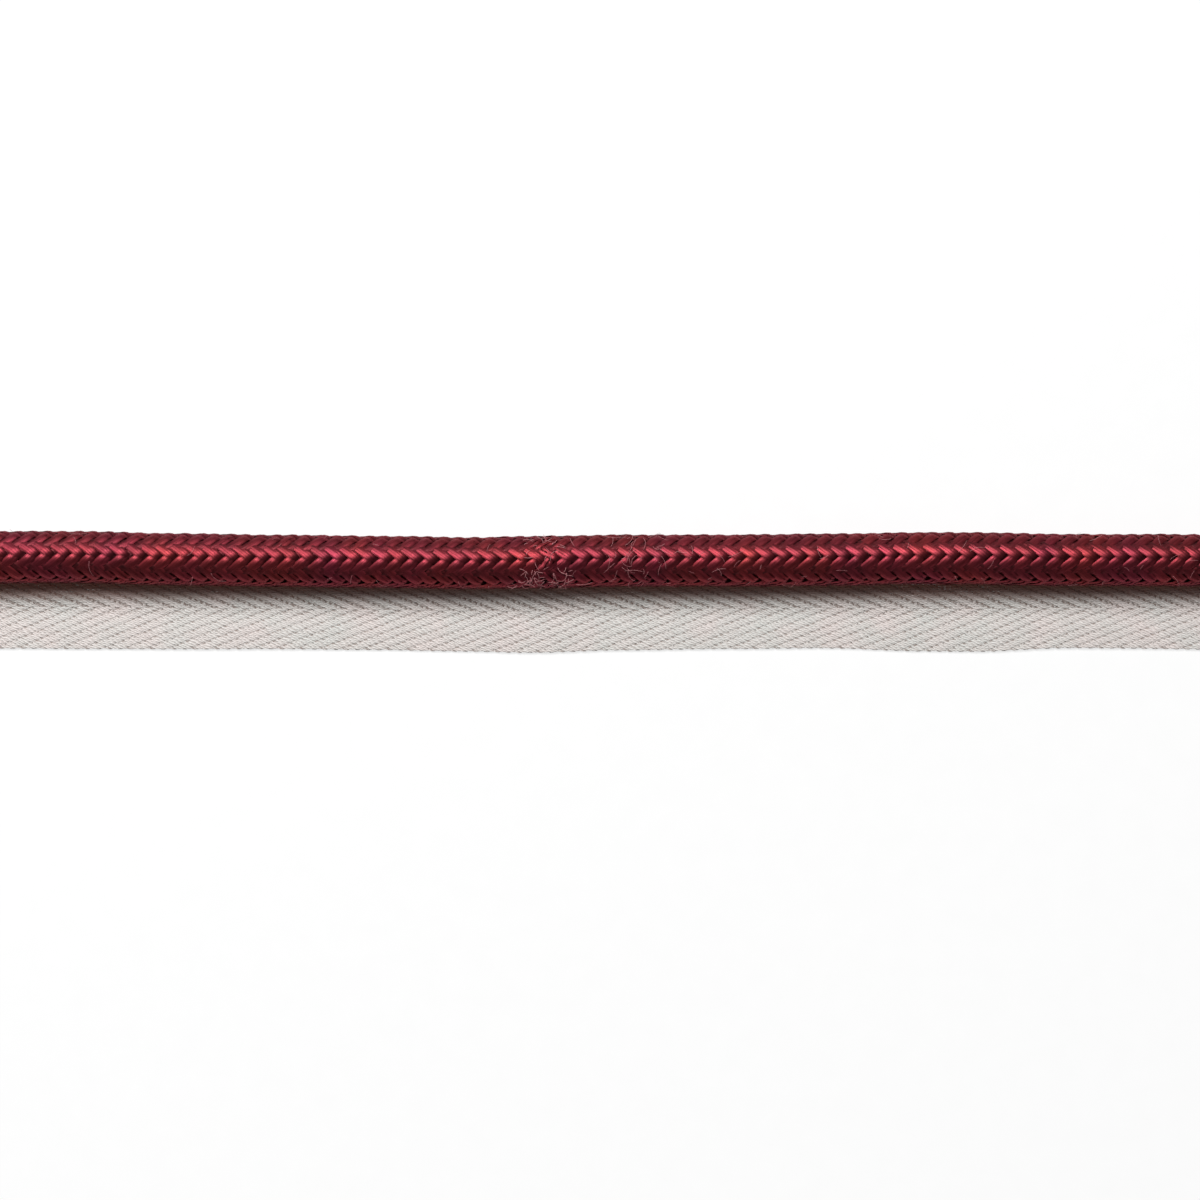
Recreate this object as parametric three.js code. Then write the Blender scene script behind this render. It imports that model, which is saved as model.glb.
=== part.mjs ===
// A cut length of flanged piping trim: a round braided cord with a herringbone tape sewn under one flank.
// Millimetres. X runs along the trim, the cord lies on the +Y side, the tape on the -Y side, and +Z is up.
import * as THREE from "three";

// Driving dimensions
const trimLength = 160;
const cordRadius = 3.2;
const cordRise = 3.1; // the cord's axis above the surface, which leaves a narrow flat spot to rest on
const tapeThickness = 1;
const tapeCorner = 0.25; // the bevel along the selvedges
const tapeTuck = 1.06; // from the cord's axis to the tape's inner selvedge
const flangeClearance = 0.3; // from under the cord's flank to where the tape's top is open for sewing
const sewnGap = 0.3; // between the tape and the cord that it is sewn to

// The braid: 24 strands, over two and under two, show as twelve columns of slanted strands
const strandColumns = 12;
const sidesPerColumn = 2;
const sideInset = 0.5; // in sides: no side's corner lies on the line where two columns cross
const strandPitch = 1.9; // from one strand to the next, along the cord
const strandGroove = 0.25; // how deep the groove between two strands is
const crossingDip = 0.2; // how far a strand dips where it goes under another column
const forwardCrossing = THREE.MathUtils.degToRad(7); // where a chevron points to +X, from straight up to +Y
const squareLines = 8; // lines over which the slant of the strands dies out at a cut end

// How the trim lies, a row for each place along it: the cord's axis and the tape's outer selvedge
const lie = [
  { along: -80, cord: 0.3, selvedge: -10.98 },
  { along: -66, cord: 0.38, selvedge: -11.07 },
  { along: -53, cord: 0.09, selvedge: -11.11 },
  { along: -41, cord: -0.08, selvedge: -11.08 },
  { along: -28, cord: -0.23, selvedge: -11.2 },
  { along: -16, cord: -0.39, selvedge: -11.4 },
  { along: -9, cord: -0.28, selvedge: -11.56 },
  { along: 3, cord: -0.08, selvedge: -11.23 },
  { along: 16, cord: -0.07, selvedge: -11.08 },
  { along: 28, cord: 0.04, selvedge: -10.98 },
  { along: 41, cord: 0.23, selvedge: -11.38 },
  { along: 47, cord: 0.19, selvedge: -11.43 },
  { along: 59, cord: 0, selvedge: -10.96 },
  { along: 80, cord: -0.04, selvedge: -11.15 },
];

function lieAt(x, column) {
  const after = Math.max(1, lie.findIndex((row) => row.along >= x));
  const [a, b] = [lie[after - 1], lie[after]];
  const eased = THREE.MathUtils.smoothstep(x, a.along, b.along);
  return THREE.MathUtils.lerp(a[column], b[column], eased);
}

// A closed solid through rings of points. Each ring turns from +Z to +Y, and its middle closes an end.
function solidThroughRings(rings, firstMiddle, lastMiddle) {
  const around = rings[0].length;
  const lastRing = (rings.length - 1) * around;
  const positions = [...rings.flat(), firstMiddle, lastMiddle].flatMap((point) => point.toArray());
  const first = rings.length * around;
  const last = first + 1;
  const triangles = [];
  for (let ring = 0; ring < rings.length - 1; ring += 1) {
    for (let side = 0; side < around; side += 1) {
      const here = ring * around + side;
      const beside = ring * around + ((side + 1) % around);
      triangles.push(here, here + around, beside + around);
      triangles.push(here, beside + around, beside);
    }
  }
  for (let side = 0; side < around; side += 1) {
    const next = (side + 1) % around;
    triangles.push(first, side, next);
    triangles.push(last, lastRing + next, lastRing + side);
  }
  const geometry = new THREE.BufferGeometry();
  geometry.setAttribute("position", new THREE.Float32BufferAttribute(positions, 3));
  geometry.setIndex(triangles);
  geometry.computeVertexNormals();
  return geometry;
}

// The cord: each line of points follows the strands, forward through one column and back through the next
const columnAngle = (2 * Math.PI) / strandColumns;
const chevrons = Math.round(trimLength / strandPitch);
const cordLines = 2 * chevrons;
const lineSpacing = trimLength / cordLines;
const flatHalfWidth = Math.sqrt(cordRadius ** 2 - cordRise ** 2);
const notchTop = tapeThickness + sewnGap;
const notchWall = sewnGap - tapeTuck;

function columnsFromCrossing(angle) {
  return (angle - forwardCrossing) / columnAngle;
}

function strandAdvance(angle) {
  const towardsBack = Math.abs(THREE.MathUtils.euclideanModulo(columnsFromCrossing(angle), 2) - 1);
  return strandPitch * (towardsBack - 0.5);
}

// The strands of one column come up between those of the next, so a ridge there runs on as a groove here
function braidRadius(angle, line) {
  const columns = columnsFromCrossing(angle);
  const acrossColumn = THREE.MathUtils.euclideanModulo(columns, 1);
  const dip = crossingDip * (1 - Math.sin(Math.PI * acrossColumn));
  const inGroove = THREE.MathUtils.euclideanModulo(line + Math.floor(columns), 2) === 1;
  return cordRadius - dip - (inGroove ? strandGroove : 0);
}

// The section from the notch's mouth over the top to the flat spot, then the notch that takes the tape's margin
function cordSection(line) {
  const mouthAngle = -Math.PI / 2 - Math.asin((cordRise - notchTop) / cordRadius);
  const flatAngle = Math.PI - Math.asin(flatHalfWidth / cordRadius);
  const sideAngle = columnAngle / sidesPerColumn;
  const mouthRadius = braidRadius(mouthAngle, line);
  const points = [new THREE.Vector2(-Math.sqrt(mouthRadius ** 2 - (cordRise - notchTop) ** 2), notchTop)];
  const firstSide = Math.ceil((mouthAngle - forwardCrossing) / sideAngle - sideInset);
  const lastSide = Math.floor((flatAngle - forwardCrossing) / sideAngle - sideInset);
  for (let side = firstSide; side <= lastSide; side += 1) {
    const angle = forwardCrossing + (side + sideInset) * sideAngle;
    const radius = braidRadius(angle, line);
    points.push(new THREE.Vector2(radius * Math.sin(angle), cordRise + radius * Math.cos(angle)));
  }
  points.push(new THREE.Vector2(flatHalfWidth, 0));
  points.push(new THREE.Vector2(notchWall, 0));
  points.push(new THREE.Vector2(notchWall, notchTop));
  return points;
}

function cordGeometry() {
  const sections = [cordSection(0), cordSection(1)];
  const rings = [];
  for (let line = 0; line <= cordLines; line += 1) {
    const slant = Math.min(1, line / squareLines, (cordLines - line) / squareLines);
    const ring = sections[line % 2].map((point) => {
      const angle = Math.atan2(point.x, point.y - cordRise);
      const x = line * lineSpacing - trimLength / 2 + slant * strandAdvance(angle);
      return new THREE.Vector3(x, lieAt(x, "cord") + point.x, point.y);
    });
    rings.push(ring);
  }
  const middleAt = (x) => new THREE.Vector3(x, lieAt(x, "cord"), cordRise);
  return solidThroughRings(rings, middleAt(-trimLength / 2), middleAt(trimLength / 2));
}

// The tape: flat on the surface, its inner selvedge beside the cord's flat spot and its outer one uneven
const tapeStations = 80;

function tapeGeometry() {
  const rings = [];
  for (let station = 0; station <= tapeStations; station += 1) {
    const x = (station / tapeStations - 0.5) * trimLength;
    const inner = lieAt(x, "cord") - tapeTuck;
    const flangeEdge = lieAt(x, "cord") - cordRadius - flangeClearance;
    const outer = lieAt(x, "selvedge");
    rings.push([
      new THREE.Vector3(x, outer, tapeThickness - tapeCorner),
      new THREE.Vector3(x, outer + tapeCorner, tapeThickness),
      new THREE.Vector3(x, flangeEdge, tapeThickness),
      new THREE.Vector3(x, inner - tapeCorner, tapeThickness),
      new THREE.Vector3(x, inner, tapeThickness - tapeCorner),
      new THREE.Vector3(x, inner, tapeCorner),
      new THREE.Vector3(x, inner - tapeCorner, 0),
      new THREE.Vector3(x, outer + tapeCorner, 0),
      new THREE.Vector3(x, outer, tapeCorner),
    ]);
  }
  const middleAt = (x) => new THREE.Vector3(x, (lieAt(x, "cord") + lieAt(x, "selvedge")) / 2, tapeThickness / 2);
  return solidThroughRings(rings, middleAt(-trimLength / 2), middleAt(trimLength / 2));
}

const crimsonViscose = new THREE.MeshStandardMaterial({ color: 0x7d1a2b, roughness: 0.45, metalness: 0 });
const greyCotton = new THREE.MeshStandardMaterial({ color: 0xc9c3be, roughness: 0.9, metalness: 0 });

const cord = new THREE.Mesh(cordGeometry(), crimsonViscose);
cord.name = "cord";
const tape = new THREE.Mesh(tapeGeometry(), greyCotton);
tape.name = "tape";

// The origin is the middle of the footprint, on the surface
const trim = new THREE.Group();
trim.add(cord, tape);
const footprint = new THREE.Box3().setFromObject(trim);
const footprintMiddle = footprint.getCenter(new THREE.Vector3());
trim.position.set(-footprintMiddle.x, -footprintMiddle.y, -footprint.min.z);
trim.updateMatrixWorld(true);

export default trim;
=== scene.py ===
# %% [markdown]
# This scene dresses a cut length of flanged piping: a braided cord with a woven tape sewn along one
# side. An upholsterer lays the tape between two cloths and sews through all three, so that only the
# cord shows along the seam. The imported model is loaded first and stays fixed, and everything made
# below is fitted to it in the same frame.

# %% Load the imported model
import math

import bpy
import numpy as np
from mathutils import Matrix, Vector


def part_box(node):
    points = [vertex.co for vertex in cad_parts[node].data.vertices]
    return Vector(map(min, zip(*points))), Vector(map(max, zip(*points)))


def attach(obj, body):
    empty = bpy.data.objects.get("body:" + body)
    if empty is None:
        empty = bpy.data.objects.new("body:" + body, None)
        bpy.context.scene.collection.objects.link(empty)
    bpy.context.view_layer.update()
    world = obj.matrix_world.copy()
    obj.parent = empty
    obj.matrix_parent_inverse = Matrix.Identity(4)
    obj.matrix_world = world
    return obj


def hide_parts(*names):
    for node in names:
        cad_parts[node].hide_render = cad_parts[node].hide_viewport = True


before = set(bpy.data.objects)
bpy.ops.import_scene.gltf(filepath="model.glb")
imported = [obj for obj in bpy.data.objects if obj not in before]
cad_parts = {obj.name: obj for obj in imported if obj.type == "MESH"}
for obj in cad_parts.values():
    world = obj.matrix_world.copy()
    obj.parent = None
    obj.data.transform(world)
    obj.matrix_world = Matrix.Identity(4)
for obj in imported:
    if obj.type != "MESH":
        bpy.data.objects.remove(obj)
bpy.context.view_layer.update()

# %% [markdown]
# The trim was made on two machines, a braider and a narrow loom, so its sizes are counted in strands
# and threads. All sizes here are in millimetres and are turned into metres when a mesh is made. The
# trim doesn't lie quite straight. A short table says where the cord's axis and the tape's outer edge
# lie at a few places, and `lie_at` eases from one row to the next.

# %% Sizes and the way the trim lies
MM = 0.001
TRIM_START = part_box("cord")[0][0] / MM
TRIM_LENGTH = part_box("cord")[1][0] / MM - TRIM_START
CORD_RADIUS = 3.2
CORD_RISE = 3.1  # the cord's axis above the surface
TAPE_TUCK = 1.06  # from the cord's axis to the tape's inner edge
LIE = [
    {"along": -80, "cord": 0.30, "selvedge": -10.98},
    {"along": -66, "cord": 0.38, "selvedge": -11.07},
    {"along": -53, "cord": 0.09, "selvedge": -11.11},
    {"along": -41, "cord": -0.08, "selvedge": -11.08},
    {"along": -28, "cord": -0.23, "selvedge": -11.20},
    {"along": -16, "cord": -0.39, "selvedge": -11.40},
    {"along": -9, "cord": -0.28, "selvedge": -11.56},
    {"along": 3, "cord": -0.08, "selvedge": -11.23},
    {"along": 16, "cord": -0.07, "selvedge": -11.08},
    {"along": 28, "cord": 0.04, "selvedge": -10.98},
    {"along": 41, "cord": 0.23, "selvedge": -11.38},
    {"along": 47, "cord": 0.19, "selvedge": -11.43},
    {"along": 59, "cord": 0.00, "selvedge": -10.96},
    {"along": 80, "cord": -0.04, "selvedge": -11.15},
]
LOWEST_SELVEDGE = min(row["selvedge"] for row in LIE)
# From the sideways zero of the table to the origin
MIDDLE_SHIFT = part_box("tape")[0][1] / MM - LOWEST_SELVEDGE


def smooth_step(low, high, value):
    share = np.clip((value - low) / (high - low), 0, 1)
    return share * share * (3 - 2 * share)


def lie_at(along, column):
    places = np.array([row["along"] for row in LIE], float)
    values = np.array([row[column] for row in LIE], float)
    after = np.clip(np.searchsorted(places, along), 1, len(LIE) - 1)
    eased = smooth_step(places[after - 1], places[after], along)
    return values[after - 1] + (values[after] - values[after - 1]) * eased + MIDDLE_SHIFT


print("length", TRIM_LENGTH, "mm, sideways shift", round(MIDDLE_SHIFT, 3), "mm")

# %% [markdown]
# The photograph looks straight down, from far enough away that nothing tapers. A long lens does the
# same, and unlike a flat projection it lets other views move the camera back. The light is one soft
# box at the upper left, about 33 degrees off the vertical, in a dim room. Strands that slant along
# its beam shine as one band. Those that cross it catch it on one edge only and shade the next.

# %% Camera, light and floor
FRAME_WIDTH = 150.0
FRAME_PIXELS = 1200
CORD_AXIS_PIXEL = 560  # row of the frame on which the cord's axis lies, on average
LENS = 100
SENSOR = 36
FOCUS_HEIGHT = 3.0  # the height at which the frame is just FRAME_WIDTH wide


def aim(thing, target):
    direction = target - thing.location
    thing.rotation_euler = direction.to_track_quat("-Z", "Y").to_euler()


frame_middle = MIDDLE_SHIFT - (FRAME_PIXELS / 2 - CORD_AXIS_PIXEL) * FRAME_WIDTH / FRAME_PIXELS
camera = bpy.data.objects.new("camera", bpy.data.cameras.new("camera"))
camera.data.lens = LENS
camera.data.sensor_width = SENSOR
camera.location = (0, frame_middle * MM, (FRAME_WIDTH * LENS / SENSOR + FOCUS_HEIGHT) * MM)
bpy.context.scene.collection.objects.link(camera)
bpy.context.scene.camera = camera

KEY_ANGLE = math.radians(33)  # off the vertical
KEY_TURN = math.radians(29)  # from straight across the trim towards its left end
KEY_DISTANCE = 0.9  # metres
KEY_SIZE = 0.42  # metres
KEY_POWER = 10  # watts
target = camera.location.copy()
target.z = 0
key = bpy.data.objects.new("soft_box", bpy.data.lights.new("soft_box", "AREA"))
key.data.size = KEY_SIZE
key.data.energy = KEY_POWER
aside = KEY_DISTANCE * math.sin(KEY_ANGLE)
key.location = (
    -aside * math.sin(KEY_TURN),
    aside * math.cos(KEY_TURN),
    KEY_DISTANCE * math.cos(KEY_ANGLE),
)
aim(key, target)
bpy.context.scene.collection.objects.link(key)

WORLD_STRENGTH = 0.15
world = bpy.data.worlds.new("pale_room")
world.use_nodes = True
world.node_tree.nodes["Background"].inputs["Color"].default_value = (1, 1, 1, 1)
world.node_tree.nodes["Background"].inputs["Strength"].default_value = WORLD_STRENGTH
bpy.context.scene.world = world
bpy.context.scene.view_settings.view_transform = "Standard"

FLOOR_HALF = 2.0  # metres
floor_corners = [(-FLOOR_HALF, -FLOOR_HALF, 0), (FLOOR_HALF, -FLOOR_HALF, 0),
                 (FLOOR_HALF, FLOOR_HALF, 0), (-FLOOR_HALF, FLOOR_HALF, 0)]
floor_mesh = bpy.data.meshes.new("floor")
floor_mesh.from_pydata(floor_corners, [], [(0, 1, 2, 3)])
floor = bpy.data.objects.new("floor", floor_mesh)
bpy.context.scene.collection.objects.link(floor)
print("camera at", [round(place, 4) for place in camera.location])
print("soft box at", [round(place, 3) for place in key.location])

# %% [markdown]
# A finish is a small graph of nodes. Written out one node at a time it is hard to read, so `Value`
# wraps a socket and lets numbers and sockets be added and multiplied as in a sum, and `Finish` holds
# the material and makes every other node with one method.

# %% A short way to write shader maths
class Value:
    """A socket that can stand in a sum."""

    def __init__(self, finish, socket):
        self.finish = finish
        self.socket = socket

    def __add__(self, other):
        return self.finish.maths("ADD", self, other)

    def __radd__(self, other):
        return self.finish.maths("ADD", other, self)

    def __sub__(self, other):
        return self.finish.maths("SUBTRACT", self, other)

    def __rsub__(self, other):
        return self.finish.maths("SUBTRACT", other, self)

    def __mul__(self, other):
        return self.finish.maths("MULTIPLY", self, other)

    def __rmul__(self, other):
        return self.finish.maths("MULTIPLY", other, self)


class Finish:
    """A material, its nodes and its one shader."""

    def __init__(self, name):
        self.material = bpy.data.materials.new(name)
        self.material.use_nodes = True
        self.tree = self.material.node_tree
        self.shader = self.tree.nodes["Principled BSDF"]

    def feed(self, socket, value):
        if isinstance(value, Value):
            self.tree.links.new(value.socket, socket)
        else:
            socket.default_value = value

    def node(self, kind, settings=None, inputs=None, output=0):
        made = self.tree.nodes.new(kind)
        for name, value in (settings or {}).items():
            setattr(made, name, value)
        for name, value in (inputs or {}).items():
            self.feed(made.inputs[name], value)
        return Value(self, made.outputs[output])

    def maths(self, operation, first, second=0.0):
        return self.node("ShaderNodeMath", {"operation": operation}, {0: first, 1: second})

    def mix(self, first, second, share):
        """A colour between two colours. The numbers are the sockets that a mix of colours shows."""
        inputs = {0: share, 6: first, 7: second}
        return self.node("ShaderNodeMix", {"data_type": "RGBA"}, inputs, output=2)

    def vector(self, x, y, z):
        return self.node("ShaderNodeCombineXYZ", None, {0: x, 1: y, 2: z})

    def noise(self, vector, scale, detail=2.0):
        inputs = {"Vector": vector, "Scale": scale, "Detail": detail}
        return self.node("ShaderNodeTexNoise", None, inputs)

    def attribute(self, name):
        return self.node("ShaderNodeAttribute", {"attribute_name": name}, output="Fac")

    def yarn_place(self):
        """How far along its yarn a point lies, in millimetres, and how far round it, from 0 to 1."""
        place = self.node("ShaderNodeUVMap", {"uv_map": "yarn"})
        return [self.node("ShaderNodeSeparateXYZ", None, {0: place}, output=side) for side in (0, 1)]

    def bump(self, height, strength, distance):
        inputs = {"Height": height, "Strength": strength, "Distance": distance * MM}
        return self.node("ShaderNodeBump", None, inputs)

    def finish(self, **sockets):
        for name, value in sockets.items():
            self.feed(self.shader.inputs[name.replace("_", " ").title()], value)
        return self.material


# %% [markdown]
# Viscose is a bundle of fine straight filaments. Light goes into them and comes out red on the far
# side, so the yarn has a satin gloss of its own colour and is nearly black where it mirrors a dark
# room. A dielectric would give a white gloss, so most of the finish is metallic, which colours the
# gloss and exports well. Noise that is stretched along the yarn makes the filaments, as colour, as
# roughness and as bump. The tone, a random number for each yarn, shifts the noise so far that no two
# yarns have the same filaments.

# %% The crimson viscose
CRIMSON_DEEP = (0.055, 0.013, 0.015, 1)
CRIMSON = (0.23, 0.026, 0.047, 1)
CRIMSON_WARM = (0.265, 0.030, 0.032, 1)
PALE_PINK = (0.62, 0.27, 0.28, 1)
RED_EDGE = (1.0, 0.7, 0.73, 1)  # the gloss at a grazing angle
FILAMENTS_ALONG = 0.35  # cells of noise in a millimetre of yarn, so few that each filament runs long
FILAMENTS_AROUND = 14  # and in one turn round it
VISCOSE_PATCHES = 190.0  # in a metre of cord
METALLIC_SHARE = 0.92


def viscose(name, dark, light, warm, metallic):
    made = Finish(name)
    along, around = made.yarn_place()
    tone = made.attribute("tone")
    exposed = made.attribute("exposed")
    cells = made.vector(along * FILAMENTS_ALONG, around * FILAMENTS_AROUND, tone * 57)
    filaments = made.noise(cells, 1.0, 3.0)
    patches = made.noise(made.node("ShaderNodeTexCoord", output="Object"), VISCOSE_PATCHES, 1.0)
    # painted shade: exposed darkens yarn where it dives under a crossing strand; the tone, the filaments
    # and the patches vary it at random
    lightness = 0.45 * exposed + 0.35 * tone + 0.6 * filaments - 0.25
    return made.finish(
        base_color=made.mix(dark, made.mix(light, warm, 1.8 * patches - 0.4), lightness),
        metallic=metallic,
        specular_tint=RED_EDGE,
        roughness=0.33 + 0.24 * filaments,
        normal=made.bump(filaments, 0.35, 0.05),
    )


crimson_viscose = viscose("crimson_viscose", CRIMSON_DEEP, CRIMSON, CRIMSON_WARM, METALLIC_SHARE)
print("made", crimson_viscose.name)

# %% [markdown]
# The tape is matt cotton in a pale warm grey, spun and plied, so each thread has fine slanted twists.
# A sine of the place along and round the thread draws them. Slow noise over the whole tape makes it
# a little warmer here and greener there, as undyed cotton is. Beside the cord the tape is painted
# browner: a painted reflection of the red light that the cord throws into the shade of the crease.

# %% The grey cotton
COTTON_WARM = (0.78, 0.71, 0.685, 1)
COTTON_COOL = (0.71, 0.71, 0.68, 1)
COTTON_SHADE = (0.24, 0.18, 0.155, 1)
COTTON_PAINTED_BOUNCE = (0.45, 0.22, 0.17, 1)
BOUNCE_START = -1.1  # the place across the trim, in millimetres, from which the tape gets the painted bounce light
BOUNCE_WIDTH = 1.8
BOUNCE_LOWEST = 0.37  # nothing under this height gets the painted bounce light
BOUNCE_DEPTH = 0.06  # from there up to where the painted bounce light is full
TWIST_LENGTH = 0.64  # millimetres along the thread for one turn of the ply
FINE_PATCHES = 260.0  # in a metre of tape
BROAD_PATCHES = 70.0


def cotton(name, warm, cool, shade):
    made = Finish(name)
    along, around = made.yarn_place()
    tone = made.attribute("tone")
    exposed = made.attribute("exposed")
    place = made.node("ShaderNodeTexCoord", output="Object")
    patches = 0.6 * made.noise(place, FINE_PATCHES, 1.0) + 0.4 * made.noise(place, BROAD_PATCHES, 1.0)
    slip = made.noise(made.vector(along * 0.3, tone * 83, 0.0), 1.0)
    turns = along * (1 / TWIST_LENGTH) + around + tone * 23 + slip * 3
    ply = made.maths("SINE", turns * (2 * math.pi))
    fibres = made.noise(made.vector(along * 3.0, around * 9, tone * 41), 1.0, 3.0)
    hue = made.mix(warm, cool, 3 * patches - 1)
    across = made.node("ShaderNodeSeparateXYZ", None, {0: place}, output=1)
    upward = made.node("ShaderNodeSeparateXYZ", None, {0: place}, output=2)
    near_cord = (across - BOUNCE_START * MM) * (1 / (BOUNCE_WIDTH * MM))
    upper_face = (upward - BOUNCE_LOWEST * MM) * (1 / (BOUNCE_DEPTH * MM))
    # painted reflection: the red light that the cord throws on the tape's upper face beside it
    painted_bounce = made.maths("MINIMUM", near_cord, upper_face)
    # darkness mixes in the shade colour: painted shade in the dips and the crease, from exposed, and in
    # the grooves of the twist, from ply; the fibres and the tone vary it at random
    darkness = 1 - 0.5 * exposed - 0.5 * fibres - 0.3 * ply - 0.15 * tone
    return made.finish(
        base_color=made.mix(made.mix(hue, shade, darkness), COTTON_PAINTED_BOUNCE, painted_bounce),
        roughness=0.82 + 0.1 * fibres,
        normal=made.bump(0.8 * ply + fibres, 0.6, 0.05),
    )


grey_cotton = cotton("grey_cotton", COTTON_WARM, COTTON_COOL, COTTON_SHADE)
print("made", grey_cotton.name)

# %% [markdown]
# The trim lies on white board with light behind it, as such things are pictured, so that even its
# own shadow on the board is pale. A matt surface that glows does that: most of its white is glow, and
# only the rest of it can be shaded. It also lights the cord's flanks from below, which is where their
# dull red comes from.

# %% The lit floor
BOARD_GLOW = 0.71
BOARD_DARK = (0.24, 0.24, 0.24, 1)
BOARD_LIGHT = (0.26, 0.26, 0.26, 1)
BOARD_GRAIN = 300.0  # in a metre of board
white_board = Finish("white_board")
board_grain = white_board.noise(white_board.node("ShaderNodeTexCoord", output="Object"), BOARD_GRAIN)
floor.data.materials.append(white_board.finish(
    base_color=white_board.mix(BOARD_DARK, BOARD_LIGHT, board_grain),
    roughness=0.9,
    emission_color=(1, 1, 1, 1),
    emission_strength=BOARD_GLOW,
))
print("made", white_board.material.name)

# %% [markdown]
# Every strand, thread and stray fibre is a tube that follows a path, so one helper makes them all.
# It takes whole arrays of paths at once, which is far quicker than a curve object for each, and it
# lays a map along each tube: how far along, and how far round. A section is a short list of points
# from -1 to 1, sideways and outwards. Yarn that is pulled tight isn't round but a low crown, so that
# a strand of three yarns shines nearly as one band. Its edges stay sharp, which keeps the crown's
# shading to itself. Two values go with each step of a yarn, for the finishes to read: its tone, and
# how exposed it is.

# %% A mesh of many tubes
def unit(vectors):
    return vectors / np.linalg.norm(vectors, axis=-1, keepdims=True)


FLAT_YARN = np.array([(0, -1), (1, 0.7), (0.5, 0.95), (-0.5, 0.95), (-1, 0.7)])
SOFT_YARN = np.array([(0, -1), (1, 0.45), (0.55, 0.95), (-0.55, 0.95), (-1, 0.45)])
ROUND_THREAD = np.array([(math.sin(turn), -math.cos(turn)) for turn in np.arange(6) * math.pi / 3])
SINGLE_FIBRE = ROUND_THREAD[::2]
STRAIGHT_UP = np.array([0.0, 0.0, 1.0])
SURFACE_CLEARANCE = 0.01  # yarn that would go deeper is pressed flat on the surface
CUT_REACH = 0.02  # a tube that ends this near to a cut end belongs on the cut


def keep_sharp(mesh, section):
    """Sharpens the edges that run along the tubes where the section is at its full width of 1."""
    corners = np.zeros(2 * len(mesh.edges), int)
    mesh.edges.foreach_get("vertices", corners)
    widest = np.abs(section[corners % len(section), 0]).reshape(-1, 2).min(axis=1) == 1
    mesh.attributes.new("sharp_edge", "BOOLEAN", "EDGE").data.foreach_set("value", widest)


def lay_map(mesh, paths, sides):
    """Maps each corner of a quad to how far along its yarn it lies, and how far round."""
    yarns, steps = paths.shape[:2]
    length = np.linalg.norm(np.diff(paths, axis=1), axis=-1).cumsum(axis=1)
    length = np.concatenate([np.zeros((yarns, 1)), length], axis=1)
    along = np.broadcast_to(length[:, :, None], (yarns, steps, sides))
    along = np.stack([along[:, :-1], along[:, 1:], along[:, 1:], along[:, :-1]], -1)
    around = np.broadcast_to(np.arange(sides) / sides, along.shape[:3])
    around = np.stack([around, around, around + 1 / sides, around + 1 / sides], -1)
    places = np.zeros((len(mesh.loops), 2))
    places[:along.size] = np.stack([along, around], -1).reshape(-1, 2)
    mesh.uv_layers.new(name="yarn").uv.foreach_set("vector", places.ravel())


def lay_values(mesh, sides, **values):
    """Gives all corners of a ring the value of its step."""
    for name, value in values.items():
        spread = np.repeat(value.ravel(), sides)
        mesh.attributes.new(name, "FLOAT", "POINT").data.foreach_set("value", spread)


def tubes(name, paths, outward, section, half_width, half_height, tone, exposed=1.0, slant=0.0):
    """paths and outward have a place and a direction for each step of each yarn.
    The widths may change along a yarn. A slant sets the sections askew, as the twist of a spun yarn
    does with its highs and lows."""
    yarns, steps = paths.shape[:2]
    sides = len(section)
    tangent = unit(np.gradient(paths, axis=1))
    sideways = unit(np.cross(tangent, outward))
    upward = np.cross(sideways, tangent)
    sideways = sideways + slant * tangent
    width = np.broadcast_to(half_width, (yarns, steps))[..., None, None]
    height = np.broadcast_to(half_height, (yarns, steps))[..., None, None]
    rings = width * section[:, :1] * sideways[:, :, None] + height * section[:, 1:] * upward[:, :, None]
    rings = paths[:, :, None] + rings
    square_off(rings, tangent)
    rings[..., 2] = np.maximum(rings[..., 2], SURFACE_CLEARANCE)

    corner = np.arange(yarns * steps * sides).reshape(yarns, steps, sides)
    beside = np.roll(corner, -1, axis=2)
    quads = np.stack([corner[:, :-1], corner[:, 1:], beside[:, 1:], beside[:, :-1]], -1)
    quads = quads.reshape(-1, 4)
    caps = np.concatenate([corner[:, 0], corner[:, -1, ::-1]])
    mesh = bpy.data.meshes.new(name)
    mesh.from_pydata((rings.reshape(-1, 3) * MM).tolist(), [], quads.tolist() + caps.tolist())
    mesh.polygons.foreach_set("use_smooth", np.arange(len(mesh.polygons)) < len(quads))
    keep_sharp(mesh, section)
    lay_map(mesh, paths, sides)
    tone = np.broadcast_to(np.asarray(tone)[:, None], (yarns, steps))
    lay_values(mesh, sides, tone=tone, exposed=np.broadcast_to(exposed, (yarns, steps)))
    mesh.validate()
    piece = bpy.data.objects.new(name, mesh)
    bpy.context.scene.collection.objects.link(piece)
    print(name, "has", yarns, "yarns and", 2 * len(quads) + len(caps) * (sides - 2), "triangles")
    return piece


def square_off(rings, tangent):
    """Slides the first and last ring of a tube that reaches a cut end along the tube, onto the cut."""
    for ring, end in ((0, TRIM_START), (-1, TRIM_START + TRIM_LENGTH)):
        cut = np.abs(rings[:, ring, :, 0].mean(axis=1) - end) < CUT_REACH
        slide = (end - rings[cut, ring, :, 0]) / tangent[cut, ring, None, 0]
        rings[cut, ring] += slide[..., None] * tangent[cut, ring, None]


# %% [markdown]
# The cord comes off a braider with 24 carriers. Twelve strands wind one way and twelve the other, and
# each goes over two and under two, so the slanted strands stand in twelve columns round the cord
# and meet in chevrons. Here a strand is worked out from how many columns it has passed: its angle
# grows evenly along the cord, and a softened square wave lifts it over two strands and sinks it
# under the next two. It rises gently and dives steeply, because the strand that crosses it there
# holds it down. Each strand is three yarns side by side, and each yarn dives a little later than its
# neighbour, along the edge of the strand that it meets.

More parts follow.
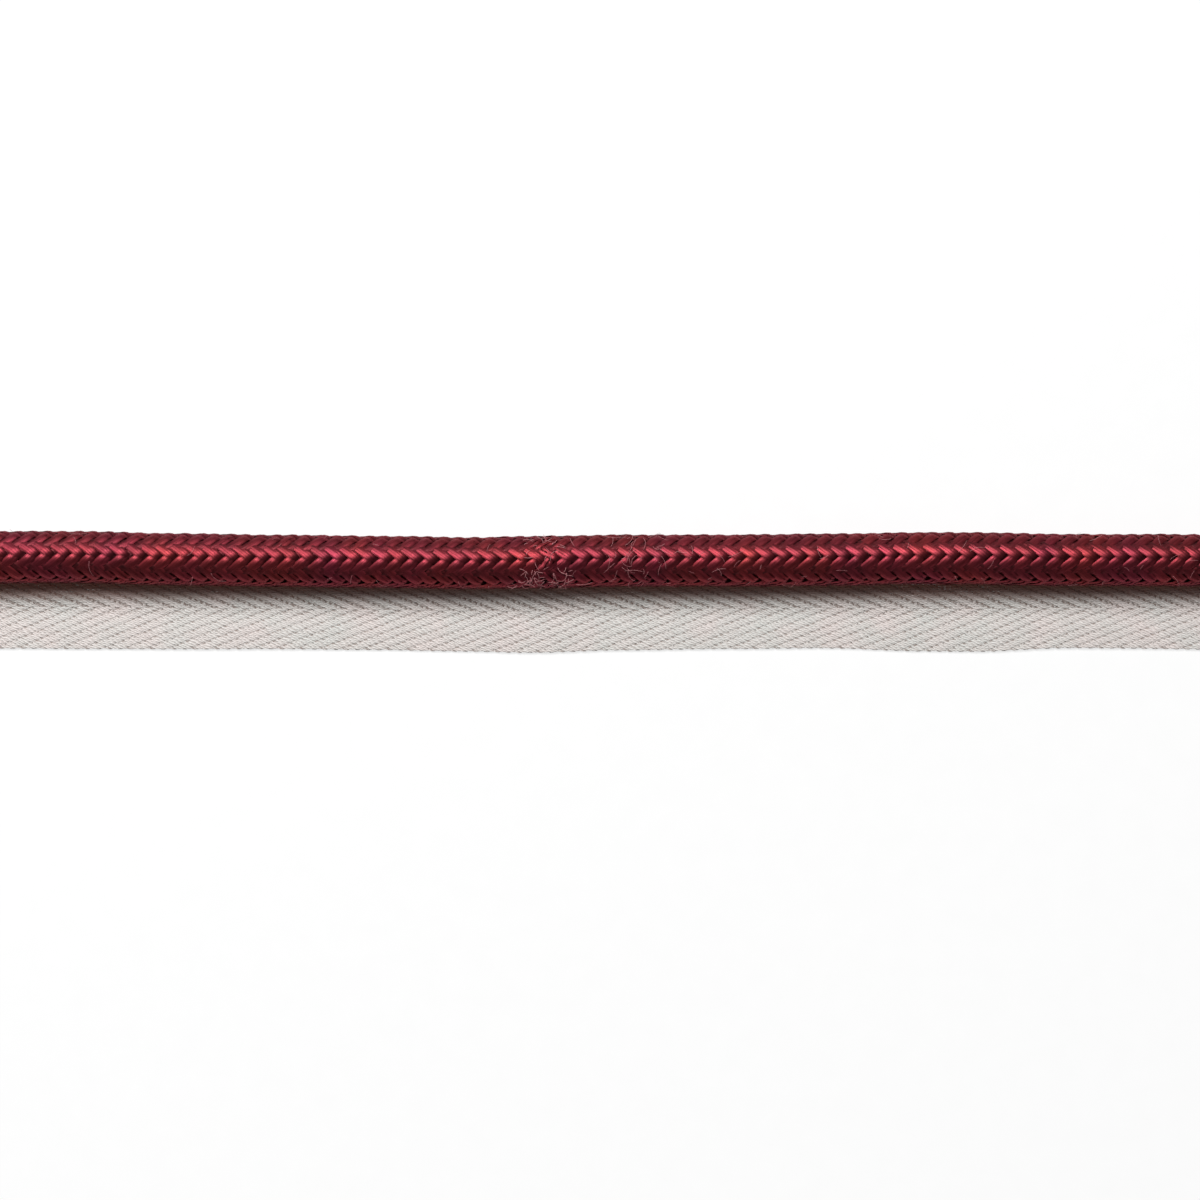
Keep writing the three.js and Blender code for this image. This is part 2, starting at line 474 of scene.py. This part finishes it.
# %% The braid's paths
CHEVRONS = 84
PITCH = TRIM_LENGTH / CHEVRONS
COLUMNS = 12
YARNS_PER_STRAND = 3
COLUMN_ANGLE = 2 * math.pi / COLUMNS
FORWARD_CROSSING = math.radians(4)  # where a chevron points to +X, from straight up to +Y
YARN_SPACING = 0.31  # in pitches, a little under a third, which leaves a groove between strands
DIVE_DELAY = 1 / 6  # in columns, from one yarn of a strand to the next
STEPS_PER_COLUMN = 6
STEP_CROWDING = 0.75  # how much closer the steps stand where a yarn dives
LOOKUP_STEPS = 501
RISE_SHARPNESS = 2.0
DIVE_SHARPNESS = 4.0
RAMP = 0.1  # by which a strand goes on rising towards the right before each dive
MEETING = 0.2  # in pitches, by how much the falling strands are ahead of the climbing ones
BRAID_RADIUS = 3.32  # over the highest yarns, a little more than the cord's mean radius
SWING = 0.13  # by how much a strand rises over the next ones, and sinks under them
STRAND_CROWN = 0.09  # by how much the middle yarn of a strand stands above the other two
STRAND_LEAN = {1: 0.5, -1: 0.33}  # by how much those two lean outwards from it, for each way of winding
STRAND_TILT = {1: 0.16, -1: 0.0}  # by how much a whole strand leans
YARN_HALF_WIDTH = 0.222
YARN_HALF_HEIGHT = 0.13
MID_RADIUS = BRAID_RADIUS - SWING - YARN_HALF_HEIGHT
TAPE_LIFT = 0.72  # how far the tape's margin pushes the cord's underside up
TAPE_LIFT_STARTS = math.radians(-167)  # round the cord, from straight up
TAPE_LIFT_FULL = math.radians(-157)
LOWEST_YARN = 0.18  # the middle of a yarn that rests on the surface
STRAND_WANDER = {"wavelength": 19.0, "size": 0.08}  # both in pitches
YARN_SWELL = {"wavelength": 11.0, "size": 0.035}  # in pitches, and the size in millimetres
SNAG_PLACE = -6.6  # along the trim
SNAG_SPREAD = 1.7
SNAG_PULL = {"wavelength": 3.0, "size": 0.3}  # along the cord
SNAG_LIFT = {"wavelength": 2.0, "size": 0.14}  # outwards
STRAND_TONES = (0.2, 0.8)
YARN_TONE_SPREAD = 0.2
random = np.random.default_rng(20)


def crowded(step, crowding):
    """Even steps moved towards the whole numbers, where a yarn dives and bends most."""
    return step - crowding * np.sin(2 * np.pi * step) / (2 * np.pi)


def before_crowding(place, crowding):
    """The even step that crowding moves to a place."""
    whole = np.floor(place)
    even = np.linspace(0, 1, LOOKUP_STEPS)
    return whole + np.interp(place - whole, crowded(even, crowding), even)


def drift(rows, places, wavelength, size):
    """A slow random wave for each row, alike in nothing but its size."""
    total = np.zeros_like(places)
    for share in (1.0, 0.62, 0.37):
        start = random.uniform(0, 2 * np.pi, (rows, 1))
        total += np.sin(2 * np.pi * places / (wavelength * share) + start)
    return size * total / 2


def snag(along):
    """Where the cord has caught on something once, its yarns are pulled about: 1 in the middle there."""
    return np.exp(-((along - SNAG_PLACE) / SNAG_SPREAD)**2)


def section_reach(angle):
    """How far the cord's outline is from its axis: round, but flat below and dented by the tape."""
    wrapped = (angle + np.pi) % (2 * np.pi) - np.pi
    over_tape = smooth_step(TAPE_LIFT_STARTS, TAPE_LIFT_FULL, wrapped) * (wrapped < 0)
    down = np.maximum(-np.cos(angle), 0.05)  # kept above zero where the outline is round anyway
    return np.minimum(BRAID_RADIUS, (CORD_RISE - TAPE_LIFT * over_tape) / down)


def cord_place(along, angle, radius):
    reach = radius - (BRAID_RADIUS - section_reach(angle))
    across = lie_at(along, "cord") + reach * np.sin(angle)
    height = np.maximum(CORD_RISE + reach * np.cos(angle), LOWEST_YARN)
    return np.stack([along, across, height], -1)


def braid(turning):
    """The yarns that wind one way.
    turning is 1 where they climb towards +Y as they go along the cord, and -1 where they fall."""
    strand, yarn = np.meshgrid(np.arange(COLUMNS), np.arange(YARNS_PER_STRAND) - 1, indexing="ij")
    strand, yarn = strand.reshape(-1, 1), yarn.reshape(-1, 1)
    first = strand + (MEETING if turning < 0 else 0) - turning * yarn * (YARN_SPACING - DIVE_DELAY)
    steps = np.arange(CHEVRONS * STEPS_PER_COLUMN + 1) / STEPS_PER_COLUMN
    phase = crowded(before_crowding(first, STEP_CROWDING) + turning * steps, STEP_CROWDING)
    pitches = turning * (phase - first)
    diving = 0.5 + 0.5 * np.cos(np.pi * phase)
    sharpness = RISE_SHARPNESS + (DIVE_SHARPNESS - RISE_SHARPNESS) * diving
    over = -turning * np.tanh(sharpness * np.sin(np.pi * phase))
    ramp = -turning * RAMP * np.sin(2 * np.pi * phase)
    off_the_cuts = np.clip(np.minimum(pitches, CHEVRONS - pitches) / 2, 0, 1)
    wander = drift(COLUMNS, pitches[::YARNS_PER_STRAND], **STRAND_WANDER)
    wander = np.repeat(wander, YARNS_PER_STRAND, axis=0)
    along = TRIM_START + (pitches + off_the_cuts * wander) * PITCH
    along = along + snag(along) * drift(len(yarn), pitches, **SNAG_PULL)
    angle = FORWARD_CROSSING + (phase - turning * yarn * DIVE_DELAY) * COLUMN_ANGLE
    swell = drift(len(yarn), pitches, **YARN_SWELL)
    swell = swell + snag(along) * drift(len(yarn), pitches, **SNAG_LIFT)
    radius = MID_RADIUS + SWING * over + ramp - STRAND_CROWN * np.abs(yarn) + swell
    lean = STRAND_TILT[turning] + STRAND_LEAN[turning] * yarn
    outward = np.stack([lean + 0 * angle, np.sin(angle), np.cos(angle)], -1)
    # the third value is how exposed a step is, for the painted shade under the crossings
    return cord_place(along, angle, radius), outward, 0.5 + 0.5 * over


def dress_cord(name, turning):
    paths, outward, exposed = braid(turning)
    by_strand = np.repeat(random.uniform(*STRAND_TONES, COLUMNS), YARNS_PER_STRAND)
    tone = by_strand + random.uniform(-YARN_TONE_SPREAD, YARN_TONE_SPREAD, len(paths))
    piece = tubes(name, paths, outward, FLAT_YARN, YARN_HALF_WIDTH, YARN_HALF_HEIGHT, tone, exposed)
    piece.data.materials.append(crimson_viscose)
    return piece


cord_pieces = [dress_cord("cord_strands_forward", 1), dress_cord("cord_strands_back", -1)]

# %% [markdown]
# Between the strands the eye meets more of the same yarn, never daylight. A plain body of that
# crimson, just inside the strands, closes the cord and gives each cut end its face. Its finish is a
# pattern of small cells, one for each cut or crossing yarn.

# %% The inside of the cord
INSIDE_RADIUS = 2.8
INSIDE_SIDES = 40
YARN_ENDS = 2600.0  # in a metre
inside_along = np.linspace(TRIM_START, TRIM_START + TRIM_LENGTH, CHEVRONS + 1)[:, None]
inside_angle = 2 * np.pi * np.arange(INSIDE_SIDES)[None] / INSIDE_SIDES
inside_along, inside_angle = np.broadcast_arrays(inside_along, inside_angle)
inside_rings = cord_place(inside_along, inside_angle, INSIDE_RADIUS)
inside_corner = np.arange(inside_rings[..., 0].size).reshape(inside_rings.shape[:2])
inside_beside = np.roll(inside_corner, -1, axis=1)
inside_quads = [inside_corner[:-1], inside_corner[1:], inside_beside[1:], inside_beside[:-1]]
inside_faces = np.stack(inside_quads, -1).reshape(-1, 4).tolist()
inside_faces += [inside_corner[0].tolist(), inside_corner[-1, ::-1].tolist()]


def packed_yarn():
    """Many small round bumps, painted lightest in the middle and darker at their edges: painted shade
    between the yarn ends.
    """
    made = Finish("packed_yarn")
    place = made.node("ShaderNodeTexCoord", output="Object")
    ends = made.node("ShaderNodeTexVoronoi", None, {"Vector": place, "Scale": YARN_ENDS}, "Distance")
    return made.finish(
        base_color=made.mix(CRIMSON, CRIMSON_DEEP, ends * 1.6),
        metallic=0.9,
        roughness=0.7,
        normal=made.bump(1 - ends, 0.8, 0.2),
    )


inside_mesh = bpy.data.meshes.new("cord_inside")
inside_mesh.from_pydata((inside_rings.reshape(-1, 3) * MM).tolist(), [], inside_faces)
inside_mesh.materials.append(packed_yarn())
cord_inside = bpy.data.objects.new("cord_inside", inside_mesh)
bpy.context.scene.collection.objects.link(cord_inside)
cord_pieces.append(cord_inside)
print("cord_inside has", len(inside_mesh.polygons), "faces")

# %% [markdown]
# The tape is woven on a narrow loom: 38 warp ends run along it, and one weft goes back and forth
# across them. Each warp end floats over three picks and dips under the fourth. The dip moves on by
# one pick from each end to the next, which draws the slanted ridges, and turns back in the middle
# of the tape, which makes the herringbone. The threads are modelled one by one, because at this
# scale the dips and ridges are what the eye sees. The warp does nearly all the bending, so the weft
# lies deep and each dip is a dark pit, from its real shade and from painted shade in the finish.

# %% The herringbone, as a formula for the floats
TAPE_WIDTH = 10.0
WARP_ENDS = 38
PICKS = 236
TWILL = 4
TURN_BREAK = 2  # picks by which the two halves are out of step, so that no float runs long at the turn
PICK_PITCH = TRIM_LENGTH / PICKS
DIP_LENGTH = 0.36  # in picks
WARP_SWING = 0.1  # how far an end rises over the middle of the cloth, and dips under it
WEFT_SWING = 0.03
YARN_SLANT = 1.3  # the spun twist sets the sections of a thread askew
SEAM_SIDE = (0.4, 0.65)  # shares of the width over which the pull of the seam dies out
SEAM_SIDE_DIP = 0.4  # how much longer the dips are where the seam draws the cloth up
SEAM_SIDE_SHADE = 1.8  # how much darker the painted shade in the dips is there
SEAM_SIDE_RELIEF = 0.6  # how much prouder the threads stand there
CREVICE = (0.18, 0.3)  # shares of the width over which the tape comes out of the crease by the cord
# how much painted shade darkens the tape in the crease under the cord
CREVICE_SHADE = 0.6
END_WANDER = {"wavelength": 14.0, "size": 0.0012}  # in millimetres, and as a share of the width
FREE_HALF_LIFT = 0.1
SELVEDGE_DROP = 0.07
WARP_HALF_WIDTH = 0.14
WARP_SPREAD = 0.027  # how much a float spreads, and how much a dip is pinched
WARP_HALF_HEIGHT = 0.09
WEFT_HALF_WIDTH = 0.215
WEFT_HALF_HEIGHT = 0.09
TAPE_MID_HEIGHT = 0.33

end_number = np.arange(WARP_ENDS)
mirrored = np.where(end_number < WARP_ENDS / 2, end_number, WARP_ENDS - 1 - end_number + TURN_BREAK)
pick_number = np.arange(PICKS)


def float_height(pick, end, dip_length=DIP_LENGTH):
    """How high a warp end stands: -1 where it dips under a pick, and 1 in the middle of its float."""
    past_dip = (pick - mirrored[end]) % TWILL
    from_dip = np.minimum(past_dip, TWILL - past_dip)
    return 1 - 2 * np.exp(-(from_dip / dip_length)**2)


def tape_place(along, share, height):
    """A place on the tape, share of the way from the inner selvedge to the outer one."""
    inner = lie_at(along, "cord") - TAPE_TUCK
    outer = lie_at(along, "selvedge")
    across = inner + (outer - inner) * share
    return np.stack([along, across, height + tape_lift(along, share)], -1)


def tape_lift(along, share):
    """The limp tape doesn't lie dead flat: its free half lifts here and there, and its edge droops."""
    wave = 0.5 + 0.3 * np.sin(along / 9.0 + 1.0) + 0.2 * np.sin(along / 5.3 + 3.2)
    lift = FREE_HALF_LIFT * wave * smooth_step(0.35, 0.7, share)
    return lift - SELVEDGE_DROP * smooth_step(0.85, 1.0, share)


end_spacing = TAPE_WIDTH / WARP_ENDS
print("the tape has", PICKS, "picks and", WARP_ENDS, "ends,", round(end_spacing, 3), "mm apart")

# %% [markdown]
# The warp comes first, as on the loom. Each end is one tube whose height follows the formula, and
# which spreads where it floats and is pinched where it dips. On the seam's side the ends are packed
# and aren't pinched, so no daylight shows between them. An attribute tells the finish how exposed a
# place is, and the finish paints shade from it: the dips and the crease by the cord get painted shade.

# %% Warp ends
STEPS_PER_FLOAT = 8
DIP_CROWDING = 0.7
first_pick = -0.5
warp_start = before_crowding((first_pick - mirrored[:, None]) / TWILL, DIP_CROWDING)
warp_steps = np.arange(PICKS // TWILL * STEPS_PER_FLOAT + 1) / STEPS_PER_FLOAT
warp_pick = mirrored[:, None] + TWILL * crowded(warp_start + warp_steps, DIP_CROWDING)
warp_along = TRIM_START + PICK_PITCH * (warp_pick - first_pick)
warp_share = (end_number[:, None] + 0.5) / WARP_ENDS + drift(WARP_ENDS, warp_along, **END_WANDER)
by_seam = 1 - smooth_step(*SEAM_SIDE, warp_share)
warp_wave = float_height(warp_pick, end_number[:, None], DIP_LENGTH * (1 + SEAM_SIDE_DIP * by_seam))
warp_swing = WARP_SWING * (1 + SEAM_SIDE_RELIEF * by_seam)
warp_paths = tape_place(warp_along, warp_share, TAPE_MID_HEIGHT + warp_swing * warp_wave)
# exposed falls in the dips, more on the seam's side, and in the crease by the cord: the finish paints
# shade from it
warp_exposed = 1 - (0.5 - 0.5 * warp_wave) * (1 + SEAM_SIDE_SHADE * by_seam)
warp_exposed = warp_exposed - CREVICE_SHADE * (1 - smooth_step(*CREVICE, warp_share))
warp_upright = np.broadcast_to(STRAIGHT_UP, warp_paths.shape)
warp_width = WARP_HALF_WIDTH + WARP_SPREAD * warp_wave * (1 - by_seam)
warp_tone = random.uniform(0, 1, WARP_ENDS)
tape_warp = tubes("tape_warp", warp_paths, warp_upright, SOFT_YARN, warp_width, WARP_HALF_HEIGHT,
                  warp_tone, warp_exposed, YARN_SLANT)
tape_warp.data.materials.append(grey_cotton)

# %% [markdown]
# The weft is one thread. It lies on the other side of the cloth from the warp at every crossing, and
# at each selvedge it turns round the last end and comes back, which gives the edge its small even
# bumps. The turns are drawn in by uneven amounts, as on a real loom.

# %% Weft
TURN_INSET = 0.011  # how far inside the tape's edge the weft turns, as a share of the width
TURN_UNEVENNESS = 0.002
WEFT_TONE = 0.5
WEFT_EXPOSED = 0.3  # it lies deep, so it gets painted shade
weft_points = []
for pick in pick_number:
    outward_bound = pick % 2 == 0
    order = end_number if outward_bound else end_number[::-1]
    along = TRIM_START + (pick - first_pick) * PICK_PITCH
    for end in order:
        weft_points.append((along, (end + 0.5) / WARP_ENDS, -WEFT_SWING * float_height(pick, end)))
    if pick < PICKS - 1:
        edge = 1 - TURN_INSET if outward_bound else TURN_INSET
        bow = edge + random.uniform(-TURN_UNEVENNESS, TURN_UNEVENNESS)
        for step in (0.25, 0.5, 0.75):
            turn = bow if step == 0.5 else (edge + bow) / 2
            weft_points.append((along + step * PICK_PITCH, turn, 0.0))
weft_points = np.array(weft_points)
weft_paths = tape_place(weft_points[:, 0], weft_points[:, 1], TAPE_MID_HEIGHT + weft_points[:, 2])[None]
weft_upright = np.broadcast_to(STRAIGHT_UP, weft_paths.shape)
tape_weft = tubes("tape_weft", weft_paths, weft_upright, SOFT_YARN, WEFT_HALF_WIDTH, WEFT_HALF_HEIGHT,
                  [WEFT_TONE], WEFT_EXPOSED)
tape_weft.data.materials.append(grey_cotton)

# %% [markdown]
# The tape's margin is sewn into the cord's underside. The stitches hide in the crease from above,
# and from below they show as a row of short bars. One thread makes them all: it runs along under
# the tape and then loops up through it into the cord.

# %% The seam
STITCH_LENGTH = 2.6
STITCH_STEPS = 12
SEAM_FROM_AXIS = 1.95
STITCH_LOW = 0.1
STITCH_HIGH = 1.25
THREAD_RADIUS = 0.1
THREAD_TONE = 0.6
stitches = int(TRIM_LENGTH / STITCH_LENGTH) - 1
stitch_phase = np.arange(stitches * STITCH_STEPS + 1) / STITCH_STEPS
seam_along = (stitch_phase - stitches / 2) * STITCH_LENGTH
loop = np.clip(-1.1 + 2.2 * np.cos(2 * np.pi * stitch_phase), 0, 1)  # up for a third of each stitch
seam_height = STITCH_LOW + (STITCH_HIGH - STITCH_LOW) * loop
seam_across = lie_at(seam_along, "cord") - SEAM_FROM_AXIS
seam_paths = np.stack([seam_along, seam_across, seam_height], -1)[None]
seam_side = np.broadcast_to(np.array([0.0, 1.0, 0.0]), seam_paths.shape)
seam = tubes("seam_stitches", seam_paths, seam_side, ROUND_THREAD, THREAD_RADIUS, THREAD_RADIUS,
             [THREAD_TONE])
seam.data.materials.append(grey_cotton)

# %% [markdown]
# A few filaments always work loose. They are most plentiful where the cord was handled, in two
# patches near its middle, and show paler than the cord because light goes through a single fibre.

# %% Loose fibres
FUZZ = [
    {"along": -8.4, "spread": 0.8, "lowest": -65, "highest": -20,
     "fibres": 30, "longest": 1.5, "radius": 0.035},
    {"along": -4.8, "spread": 0.8, "lowest": -65, "highest": -20,
     "fibres": 22, "longest": 1.5, "radius": 0.035},
    {"along": -6.5, "spread": 1.5, "lowest": 10, "highest": 70,
     "fibres": 20, "longest": 2.0, "radius": 0.03},
    {"along": 5.5, "spread": 4.5, "lowest": -70, "highest": 60,
     "fibres": 36, "longest": 2.6, "radius": 0.022},
    {"along": 0.0, "spread": 80.0, "lowest": -80, "highest": 70,
     "fibres": 70, "longest": 2.2, "radius": 0.02},
]
FIBRE_STEPS = 7
SHORTEST_FIBRE = 0.5
LARGEST_BEND = 0.8
FIBRE_RISES = (0.02, 0.25)
FIBRE_ARCHES = (0.5, 1)  # 1 brings the end of a fibre down to the cord again
fuzz_along = np.concatenate([random.normal(row["along"], row["spread"], row["fibres"]) for row in FUZZ])
fuzz_along = (TRIM_START + (fuzz_along - TRIM_START) % TRIM_LENGTH)[:, None]
fibres = len(fuzz_along)
fuzz_angle = [random.uniform(row["lowest"], row["highest"], row["fibres"]) for row in FUZZ]
fuzz_angle = np.radians(np.concatenate(fuzz_angle))[:, None]
fibre_length = [random.uniform(SHORTEST_FIBRE, row["longest"], row["fibres"]) for row in FUZZ]
fibre_length = np.concatenate(fibre_length)[:, None]
fibre_radius = np.concatenate([np.full(row["fibres"], row["radius"]) for row in FUZZ])[:, None]
heading = random.uniform(0, 2 * np.pi, (fibres, 1))
travel = np.linspace(0, 1, FIBRE_STEPS)[None]
bend = random.uniform(-LARGEST_BEND, LARGEST_BEND, (fibres, 1))
course = heading + bend * travel
fuzz_x = fuzz_along + fibre_length * travel * np.cos(course)
fuzz_turn = fuzz_angle + fibre_length * travel * np.sin(course) / CORD_RADIUS
fibre_rise = random.uniform(*FIBRE_RISES, (fibres, 1))
fibre_arch = random.uniform(*FIBRE_ARCHES, (fibres, 1))
rise = fibre_rise * np.sin(np.pi * travel * fibre_arch)
fuzz_paths = cord_place(fuzz_x, fuzz_turn, BRAID_RADIUS + rise)
fuzz_outward = np.stack([0 * fuzz_turn, np.sin(fuzz_turn), np.cos(fuzz_turn)], -1)
fuzz_tone = random.uniform(0, 1, fibres)
loose_fibres = tubes("loose_fibres", fuzz_paths, fuzz_outward, SINGLE_FIBRE, fibre_radius, fibre_radius,
                     fuzz_tone)
loose_fibres.data.materials.append(viscose("loose_viscose", CRIMSON, PALE_PINK, PALE_PINK, 0.0))
cord_pieces.append(loose_fibres)

# %% [markdown]
# Last, every piece is tied to the imported model: it moves with the model's root, and the imported
# part that it stands for is hidden.

# %% Tie the pieces to the model
for piece in cord_pieces:
    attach(piece, "root")
    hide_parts("cord")
for piece in (tape_warp, tape_weft, seam):
    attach(piece, "root")
    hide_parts("tape")
